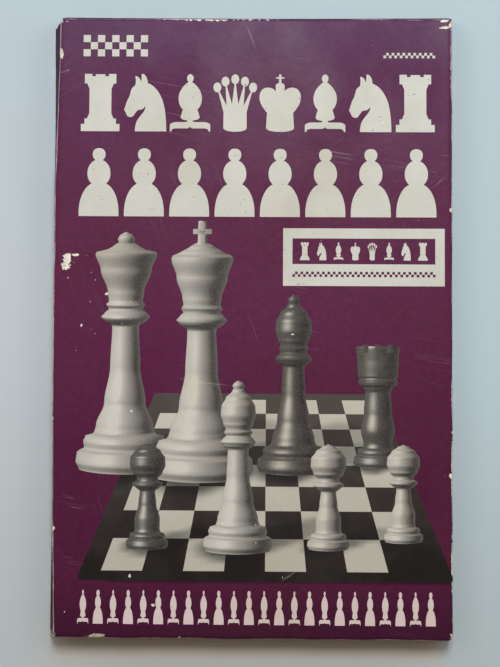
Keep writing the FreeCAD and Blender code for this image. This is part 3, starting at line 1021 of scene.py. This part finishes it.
def in_perspective(across, along):
    """A place on the pictured board, in millimetres. across is -1 to 1 and along 0 to 1."""
    farther = 0.62  # how much farther off the board's far side is, as a share
    shrink = 1 / (1 + farther * along)
    depth = (1 - shrink) / (1 - 1 / (1 + farther))
    return Vector((3.0 + across * 41.6 * shrink, -62.2 + 43.4 * depth, 0))


def board_shade(x, y):
    """How dark the shadows of the pictured pieces are at a place, in millimetres from the middle."""
    darkest = 0
    for _, middle, foot, tall, _ in FAR_PIECES + NEAR_PIECES:
        wide = 0.2 * tall
        cast = 2.6 * wide  # how far to the right its shadow falls
        level = foot + 0.16 * wide
        reach = min(1, max(0, (x - middle) / cast))
        across = (x - middle - reach * cast) / wide
        along = (y - level - reach * 0.75 * wide) / (0.34 * wide)
        away = math.hypot(across, along) / (1 - 0.35 * reach)
        darkest = max(darkest, (1 - eased(away, 0.75, 1.55)) * (0.85 - 0.45 * reach))
    return darkest


def place_on_picture(piece):
    """Lays a flat grid of board places on the cover, with the shadows that fall on it."""
    places = [in_perspective(v.co.x, v.co.y) for v in piece.data.vertices]
    keep(piece, "shade", "FLOAT", [board_shade(place.x, place.y) for place in places])
    return reshape(piece, lambda p: in_perspective(p.x, p.y) * MM + Vector((MIDDLE.x, MIDDLE.y, 0)))


def print_board():
    """A chessboard seen from its near side, with a dark border."""
    border = sheet_at("border", (-1.13, -0.035), (1.13, 1.06), 0, 70, 44)
    open_piece(border)
    pick(border, "VERT", lambda p: abs(p.x) > 1.12 and (p.y < -0.03 or p.y > 1.05))
    printed("board", [place_on_picture(round_corners(border, 0.05))], 0.012, COVER_DARK)
    squares = []
    for file in range(RANKS):
        for rank in range(file % 2, RANKS, 2):
            low, high = (file / 4 - 1, rank / 8), (file / 4 - 0.75, (rank + 1) / 8)
            squares.append(place_on_picture(sheet_at("square", low, high, 0, 6, 6)))
    printed("squares", squares, 0.024, COVER_PALE)


# heights up a turned piece and its half widths there, in thousandths of its whole height
FOOT_TURNING = ((0, 185), (30, 200), (75, 195), (95, 165), (120, 170), (145, 160), (160, 125), (190, 118))
TURNINGS = {
    "king": ((280, 85), (420, 62), (580, 55), (600, 85), (615, 98), (630, 85), (645, 70), (660, 82),
             (672, 70), (700, 75), (780, 98), (850, 118), (862, 118), (872, 90), (900, 50), (915, 18),
             (1000, 16)),
    "queen": ((290, 85), (440, 62), (610, 55), (630, 88), (645, 102), (660, 88), (680, 68), (695, 82),
              (710, 70), (750, 75), (840, 105), (910, 128), (918, 122), (925, 80), (945, 50), (955, 30),
              (970, 36), (985, 30), (1000, 4)),
    "bishop": ((300, 90), (450, 66), (600, 60), (625, 90), (640, 104), (660, 90), (680, 70), (700, 85),
               (715, 72), (750, 88), (800, 102), (850, 98), (900, 75), (940, 38), (955, 28), (970, 36),
               (985, 30), (1000, 4)),
    "rook": ((300, 140), (450, 115), (620, 105), (660, 125), (680, 160), (710, 165), (730, 150),
             (750, 165), (860, 170), (990, 178), (1000, 172)),
    "pawn": ((280, 120), (420, 85), (550, 72), (580, 110), (600, 142), (625, 142), (645, 100),
             (670, 100), (720, 142), (790, 168), (860, 165), (930, 122), (975, 65), (1000, 6)),
}
LAMP = Vector((-0.66, 0.46, 0.60)).normalized()
NEARER = 0.0005 * MM  # how much higher a pictured piece is printed, for each mm its foot is lower


def width_up(kind, height):
    """The half width of a turned piece at a height, with round curves between its places."""
    places = [(up / 1000, wide / 1000) for up, wide in FOOT_TURNING + TURNINGS[kind]]
    for (low, first), (high, second) in zip(places, places[1:]):
        if low <= height <= high:
            return first + (second - first) * eased(height, low, high)
    return places[-1][1]


def turned_tone(across, slope, dark):
    """How light a turned form looks in a black and white picture, from where it faces."""
    flat = 1 / math.sqrt(1 + slope * slope)
    facing = Vector((across * flat, -slope * flat, math.sqrt(max(0, 1 - across * across)) * flat))
    lit = max(0, facing.dot(LAMP))
    glint = max(0, facing.dot((LAMP + Vector((0, 0, 1))).normalized())) ** 30
    rim = max(0, across) ** 6
    if dark:
        return 0.015 + 0.13 * lit + 0.80 * glint + 0.09 * rim
    return 0.05 + 0.88 * lit ** 1.3 + 0.35 * glint + 0.13 * rim


def turned_picture(kind, middle, foot, tall, dark):
    """A pictured turned chess piece: a flat grid as wide as its turning, with its tones."""
    piece = sheet_at("pictured_" + kind, (-1, 0), (1, 1), 0, 22, 96)
    tones = []
    for vertex in piece.data.vertices:
        across, up = math.sin(vertex.co.x * math.pi / 2), vertex.co.y
        half = width_up(kind, up)
        step = 0.004
        slope = (width_up(kind, min(1, up + step)) - width_up(kind, max(0, up - step))) / (2 * step)
        tones.append(turned_tone(across, slope, dark))
        bow = 0.160 * (1 - math.sqrt(1 - 0.9 * across * across)) * (1 - up) * half
        vertex.co = (*on_cover(middle + across * half * tall, foot + (up + bow) * tall), -foot * NEARER)
    keep(piece, "tone", "FLOAT", tones)
    return piece


def pictured_bar(low, high, light):
    """A small flat bar of a picture, in one tone that darkens to its right."""
    piece = patch(low, high, 4, 2)
    left, right = on_cover(*low)[0], on_cover(*high)[0]
    keep(piece, "tone", "FLOAT",
         [light * (1.25 - 0.6 * (v.co.x - left) / (right - left)) for v in piece.data.vertices])
    return piece


def print_pieces():
    """A black and white picture of turned pieces standing on the board, the tallest at the back."""
    for name, pieces in (("far_pieces", FAR_PIECES), ("near_pieces", NEAR_PIECES)):
        printed(name, [turned_picture(*row) for row in pieces], 0.016, COVER_GREY)
    cross = [pictured_bar((-15.9, 23.6), (-11.1, 24.9), 0.55),
             pictured_bar((-14.2, 21.0), (-12.8, 26.6), 0.6)]
    printed("cross", cross, 0.040, COVER_GREY)
    notches = [pictured_bar((left, -6.6), (left + 1.5, -4.6), 0.10) for left in (27.6, 30.75, 33.9)]
    printed("notches", notches, 0.040, COVER_GREY)


def print_plaque():
    """A pale plaque with a row of symbols on a purple bar, and a fine chequered line below."""
    left, right, foot, head = 7.2, 48.5, 10.4, 25.2
    printed("plaque", [patch((left, foot), (right, head), 8, 3)], 0.034, COVER_CREAM)
    bar_foot, bar_head, inset = foot + 5.6, head - 2.6, 2.4
    shapes = [patch((left + inset, bar_foot), (right - inset, bar_head), 8, 2)]
    shapes += chequer(left + inset, foot + 2.3, 53, 2, 0.69)
    printed("plaque_bar", shapes, 0.040, COVER_PURPLE)
    symbols = symbol_row(BACK_RANK[::-1], left + 3.4, right - 3.4, bar_foot + 1.0,
                         bar_head - bar_foot - 2.0, dict.fromkeys(GLYPHS, 0.56))
    printed("plaque_symbols", symbols, 0.046, COVER_CREAM)


# -------- the leaflet and the wallet


def make_leaflet():
    """One sheet of paper folded once, its fold towards -X."""
    low, high = LEAFLET_LOW, LEAFLET_HIGH
    piece = sheet_at("leaflet", low, high, high.z - 0.01 * MM, 12, 18)
    open_piece(piece)
    pick(piece, "EDGE", lambda p: abs(p.x - low.x) < CLOSE)
    # down round the fold, and back beneath in six steps
    for drop in (0.06 * MM, (high.z - low.z) - 0.14 * MM, 0.06 * MM):
        extrude(0, 0, -drop)
    for _ in range(6):
        extrude((high.x - low.x - 0.5 * MM) / 6, 0, 0)
    face_outwards()
    smooth(thicken(painted(piece, LEAFLET_PAPER), PAPER), 60)
    dress(piece, "leaflet", "leaflet_paper", "rules_leaflet")


def wallet_sheet(name, low, high, radius, level_at):
    """A vinyl sheet with round outer corners. level_at gives its height from how far in it is."""
    half = (high - low) / 2
    middle = (high + low) / 2
    near = mm(0.35, 0.7, 1.05, 1.5, 2.0, 2.5, 3.2, 4.6)
    piece = lined_sheet(name, spread(half.x, near, 14), spread(half.y, near, 22))

    def shape(p):
        outer = half.x + p.x
        inside = min(outer, half.y - abs(p.y))
        u = (radius - outer) / radius
        v = (abs(p.y) - half.y + radius) / radius
        x, y = p.x, p.y
        if u > 0 and v > 0:
            x = -half.x + radius - radius * u * math.sqrt(1 - v * v / 2)
            y = math.copysign(half.y - radius + radius * v * math.sqrt(1 - u * u / 2), p.y)
        return Vector((middle.x + x, middle.y + y, level_at(inside, half.x - p.x)))

    return reshape(piece, shape)


def seam_bead(inside):
    """The pressed line along a sealed edge."""
    return math.exp(-((inside - 0.85 * MM) / (0.28 * MM)) ** 2)


def skin_level(inside, from_spine):
    """The outside of the cover: flat, and rising at its sealed edge and under the spine strip."""
    sealed = 1 - eased(inside, 1.15 * MM, 2.4 * MM)
    lap = 1 - eased(from_spine, 0.3 * MM, 1.3 * MM)
    return SKIN_LOW.z + 0.75 * MM * sealed + 0.12 * MM * seam_bead(inside) + 0.36 * MM * lap * (1 - sealed)


def face_level(inside, from_spine):
    """The board side of a half: flat, and pressed down along its sealed edge."""
    edge = min(inside, from_spine)
    sealed = 1 - eased(edge, 1.15 * MM, 2.3 * MM)
    return FACE_HIGH.z - 0.12 * MM * sealed - 0.10 * MM * seam_bead(edge)


def make_cover(name):
    """One half's cover, sealed to its board round three edges."""
    high = Vector((SKIN_HIGH.x - 2.4 * MM, SKIN_HIGH.y, 0))
    piece = painted(wallet_sheet(name, SKIN_LOW, high, 6 * MM, skin_level), WALLET_VINYL)
    turn_faces(piece)
    return smooth(thicken(piece, SKIN_HIGH.z - SKIN_LOW.z))


def make_face(name, material):
    """One half's printed board, a little smaller than its cover."""
    inset = Vector((0.35, 0.35, 0)) * MM
    piece = wallet_sheet(name, FACE_LOW + inset, FACE_HIGH - inset, 5.7 * MM, face_level)
    return smooth(thicken(painted(piece, material), FACE_HIGH.z - FACE_LOW.z))


def make_title_strip(name):
    """The cream strip down a half's outer side."""
    piece = sheet_at(name, TITLE_LOW, TITLE_HIGH, TITLE_HIGH.z)
    open_piece(piece, everything=True)
    painted(round_corners(piece, 0.8 * MM), TITLE_VINYL)
    thicken(piece, TITLE_HIGH.z - TITLE_LOW.z)
    return smooth(round_edges(piece, 0.06 * MM))


def make_slot_flaps(name, material):
    """The flaps along the head of each rank: raised over the discs and low where a rank is empty."""
    left, right = STRIPS_LOW.x, STRIPS_HIGH.x
    rows = mm(0.0, 0.3, 0.65, 1.0, 1.8, 2.45, 2.7)  # how far back from its weld each line of it is
    last = len(rows) - 1
    weld, slack = mm(2.72, 2.98)  # levels of its welded edge and of its loose one

    def shape(rank, filled, p):
        back = rows[last - round(p.y)]
        in_square = ((p.x - left) / PITCH) % 1.0
        over_disc = eased(0.5 - abs(in_square - 0.5), 0.05, 0.20) if filled else 0.0
        ease = 0.12 * MM * math.sin(p.x / (4.1 * MM) + rank)
        high = slack + ease * (1 - over_disc) + over_disc * (STRIPS_HIGH.z - 3.0 * MM)
        up = eased(back, 0.0, 0.95 * MM)
        lip = eased(back, 1.9 * MM, rows[last]) * 0.06 * MM * (1 - over_disc)
        return Vector((p.x, FIELD_FOOT + (rank + 1) * PITCH - back, weld * (1 - up) + high * up + lip))

    flaps = []
    for rank in range(RANKS):
        flap = sheet_at("flap", (left, 0), (right, last), 0, 48, last)
        filled = rank in (0, 1, RANKS - 2, RANKS - 1)
        flaps.append(reshape(flap, partial(shape, rank, filled)))
    return smooth(thicken(painted(joined(name, flaps), material), FLAP), 60)


def upper_copy(piece, name):
    """A lower half's part, copied to the upper half, which is its mirror image."""
    made = copy_of(piece, name)
    made.data.transform(Matrix.Translation((0, 0, 2 * FOLD_Z)) @ Matrix.Diagonal((1, 1, -1, 1)))
    turn_faces(made)
    return made


def make_spine(name):
    """The lower half of the spine's vinyl: lapped under the cover, round the bend and half way up."""
    outer, bend = SPINE_HIGH.x, 1.6 * MM
    foot = SKIN_LOW.z
    path = [(SKIN_HIGH.x - 3.4 * MM, foot), (SKIN_HIGH.x - 2.4 * MM, foot)]
    for i in range(9):
        turn = math.radians(i * 90 / 8)
        path.append((outer - bend + bend * math.sin(turn), foot + bend - bend * math.cos(turn)))
    path += [(outer, foot + bend + 0.45 * MM), (outer, FOLD_Z)]
    last = len(path) - 1
    piece = sheet_at(name, (0, SPINE_LOW.y), (last, SPINE_HIGH.y), 0, last, 24)
    reshape(piece, lambda p: Vector((path[round(p.x)][0], p.y, path[round(p.x)][1])))
    turn_faces(painted(piece, WALLET_VINYL))
    return smooth(thicken(piece, VINYL), 60)


def stand_for_spine(piece):
    """Stands a strip of the spine in for the frame's spine strip, with its place baked into its mesh."""
    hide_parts("spine_strip")
    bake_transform(piece)


# the slot of each piece of a half, and the nodes that it stands for
HALF = (("wallet_vinyl", ("_cover_skin",)), ("board_print", ("_board_face",)),
        ("title_vinyl", ("_title_strip",)), ("slot_vinyl", ("_slot_welds", "_slot_strips")))


def make_wallet():
    """Both halves of the wallet and the spine between them."""
    left = (make_cover("left_cover"), make_face("left_board", BOARD_A_TO_D),
            make_title_strip("left_title"), make_slot_flaps("left_slot_flaps", FLAPS_A_TO_D))
    right = [upper_copy(piece, piece.name.replace("left", "right")) for piece in left]
    painted(right[1], BOARD_E_TO_H)
    painted(right[3], FLAPS_E_TO_H)
    for side, pieces in (("left", left), ("right", right)):
        for piece, (slot, nodes) in zip(pieces, HALF):
            dress(piece, "wallet_" + side, slot, *(side + node for node in nodes))
    lower = make_spine("spine_lower")
    upper = upper_copy(lower, "spine_upper")
    stand_for_spine(lower)
    stand_for_spine(upper)


# -------- the discs

DISC_RADIUS = 7 * MM
DISC_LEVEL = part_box("white_rook_a")[1].z


def blank_disc():
    """A disc at the origin with its head squared into a tab, its upper face at z 0."""
    shoulder = DISC_RADIUS * math.sqrt(0.5)
    # the points next above the shoulder, 37.5 degrees off the head, move out to be as wide as it
    tab = shoulder / (DISC_RADIUS * math.sin(math.radians(37.5)))
    piece = add("blank_disc", bpy.ops.mesh.primitive_circle_add, vertices=48, radius=DISC_RADIUS,
                fill_type="NGON")
    painted(piece, DISC_STYRENE, DISC_INK)
    reshape(piece, lambda p: Vector((p.x * tab, DISC_RADIUS, 0)) if p.y > shoulder + CLOSE else p)
    thicken(piece, DISC)
    return smooth(round_edges(piece, 0.09 * MM))


def symbol_disc(blank, kind, colour):
    """A disc with its symbol: drawn in outline for white and solid for black."""
    half = 4.1 * MM if kind == "pawn" else 5.4 * MM
    symbol = chess_symbol(kind, colour == "black", (-half, -5.0 * MM), (half, 4.6 * MM))
    thicken(painted(symbol, DISC_INK), 0.04 * MM)
    symbol.data.transform(Matrix.Translation((0, 0, 0.02 * MM)))
    return joined("disc_" + colour + "_" + kind, [copy_of(blank, "disc"), symbol])


def make_discs():
    """Thirty-two discs in their slots, each named for its colour, kind and file."""
    inner_edge = SKIN_HIGH.x - 1.5 * MM  # where the file next to the spine ends
    from_head = 7.9 * MM                 # from the head of a square to the middle of its disc
    blank = blank_disc()
    models = {(kind, colour): symbol_disc(blank, kind, colour)
              for kind in GLYPHS for colour in ("white", "black")}
    for number, file in enumerate("abcdefgh"):
        on_left = number < COLUMNS
        column = COLUMNS - 1 - number if on_left else number - COLUMNS
        x = inner_edge - (column + 0.5) * PITCH
        for colour, kind, rank in (("white", BACK_RANK[number], 1), ("white", "pawn", 2),
                                   ("black", "pawn", 7), ("black", BACK_RANK[number], 8)):
            y = FIELD_FOOT + PITCH * rank - from_head
            node_name = "_".join((colour, kind, file))
            place = (x if on_left else 2 * FOLD_X - x, y, DISC_LEVEL)
            disc = copy_of(models[kind, colour], "disc_" + node_name, place)
            if not on_left:
                fold_shut(disc)
            dress(disc, node_name, "disc_plastic", node_name)
    for model in [*models.values(), blank]:
        bpy.data.objects.remove(model)


# -------- floor, light and camera


def make_floor():
    """A pale floor that fades away beyond the box, with painted light and shade near it."""
    made, place = new_material("floor_paint", 0.75, 0.2)
    across, along, _ = axes(place)
    aside, away = sums("ABSOLUTE", across), length(place)
    near = ramp(away, 0.11, 0.22, 1.0, 0.0)
    # painted light and shade near the box: lighter to the left, a little darker towards the head, darker
    # and warmer towards the foot, and a brown painted shadow just below the box's foot
    left_light_tint = ramp(across, -100 * MM, 40 * MM, 0.9, 0.0)
    head_shade_tint = ramp(along, 0.0, 100 * MM, 0.0, 0.9)
    foot_shade_tint = times(ramp(along, -110 * MM, 0.0, 0.9, 0.0), ramp(aside, 25 * MM, 64 * MM, 1.0, 0.45))
    from_foot = sums("ABSOLUTE", plus(along, 80 * MM))
    foot_shadow_tint = times(ramp(from_foot, 2 * MM, 11 * MM, 0.8, 0.0), ramp(aside, 46 * MM, 54 * MM, 1.0, 0.0))
    drift = ramp(grain(place, 3.0, 2.0), 0.3, 0.7)
    paint = mix(drift, (0.465, 0.568, 0.612), (0.455, 0.555, 0.595))
    for share, tint in ((left_light_tint, (0.540, 0.575, 0.605)), (head_shade_tint, (0.445, 0.540, 0.590)),
                        (foot_shade_tint, (0.405, 0.412, 0.395)), (foot_shadow_tint, (0.46, 0.355, 0.26))):
        paint = mix(times(share, near), paint, tint)
    surfaced(made, paint)
    tree = made.node_tree
    shader = tree.nodes["Principled BSDF"].outputs[0]
    clear = node("BsdfTransparent", {}, tree)[0]
    far = node("MixShader", {0: ramp(away, 0.16, 0.42), 1: shader, 2: clear})[0]
    tree.links.new(far, tree.nodes["Material Output"].inputs["Surface"])
    painted(add("floor", bpy.ops.mesh.primitive_plane_add, size=2), made)


def make_light():
    """A cool studio, with a lamp beyond the head of the box and one at each side."""
    world = bpy.data.worlds.new("studio")
    world.use_nodes = True
    tree = world.node_tree
    rays = node("LightPath", {}, tree)
    tree.links.new(mix(rays["Is Camera Ray"], (0.26, 0.235, 0.205), (0.45, 0.535, 0.56)),
                   tree.nodes["Background"].inputs["Color"])
    bpy.context.scene.world = world
    for name, place, size, power, tint in (
            ("head_lamp", (0.03, 0.30, 0.58), 0.20, 3.0, (0.95, 0.98, 1.0)),
            ("left_fill", (-0.50, 0.20, 0.60), 0.40, 0.9, (1.0, 0.98, 0.96)),
            ("right_fill", (0.60, 0.25, 0.50), 0.40, 1.1, (0.98, 1.0, 1.0))):
        lamp = add(name, bpy.ops.object.light_add, type="AREA", location=place,
                   rotation=Vector(place).to_track_quat("Z", "Y").to_euler()).data
        lamp.shape = "SQUARE"
        lamp.size = size
        lamp.energy = power
        lamp.color = tint


def make_camera():
    """Looks down at the cover from nearly straight above."""
    camera = add("camera", bpy.ops.object.camera_add, location=mm(3.6, -16.2, 310),
                 rotation=[math.radians(turn) for turn in (2.49, 0.66, 0.34)])
    camera.data.sensor_width = 36
    camera.data.lens = 63.9
    camera.data.clip_start = 0.01
    camera.data.dof.use_dof = False
    bpy.context.scene.camera = camera
    bpy.context.scene.view_settings.view_transform = "Standard"


def paint_cad_nodes():
    """The grey boards inside the wallet are as the CAD has them."""
    for side in ("left", "right"):
        painted(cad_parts[side + "_stiffener"], GREY_BOARD)


make_lid()
make_tray()
print_headings()
print_board()
print_pieces()
print_plaque()
make_leaflet()
make_wallet()
make_discs()
paint_cad_nodes()
make_floor()
make_light()
make_camera()
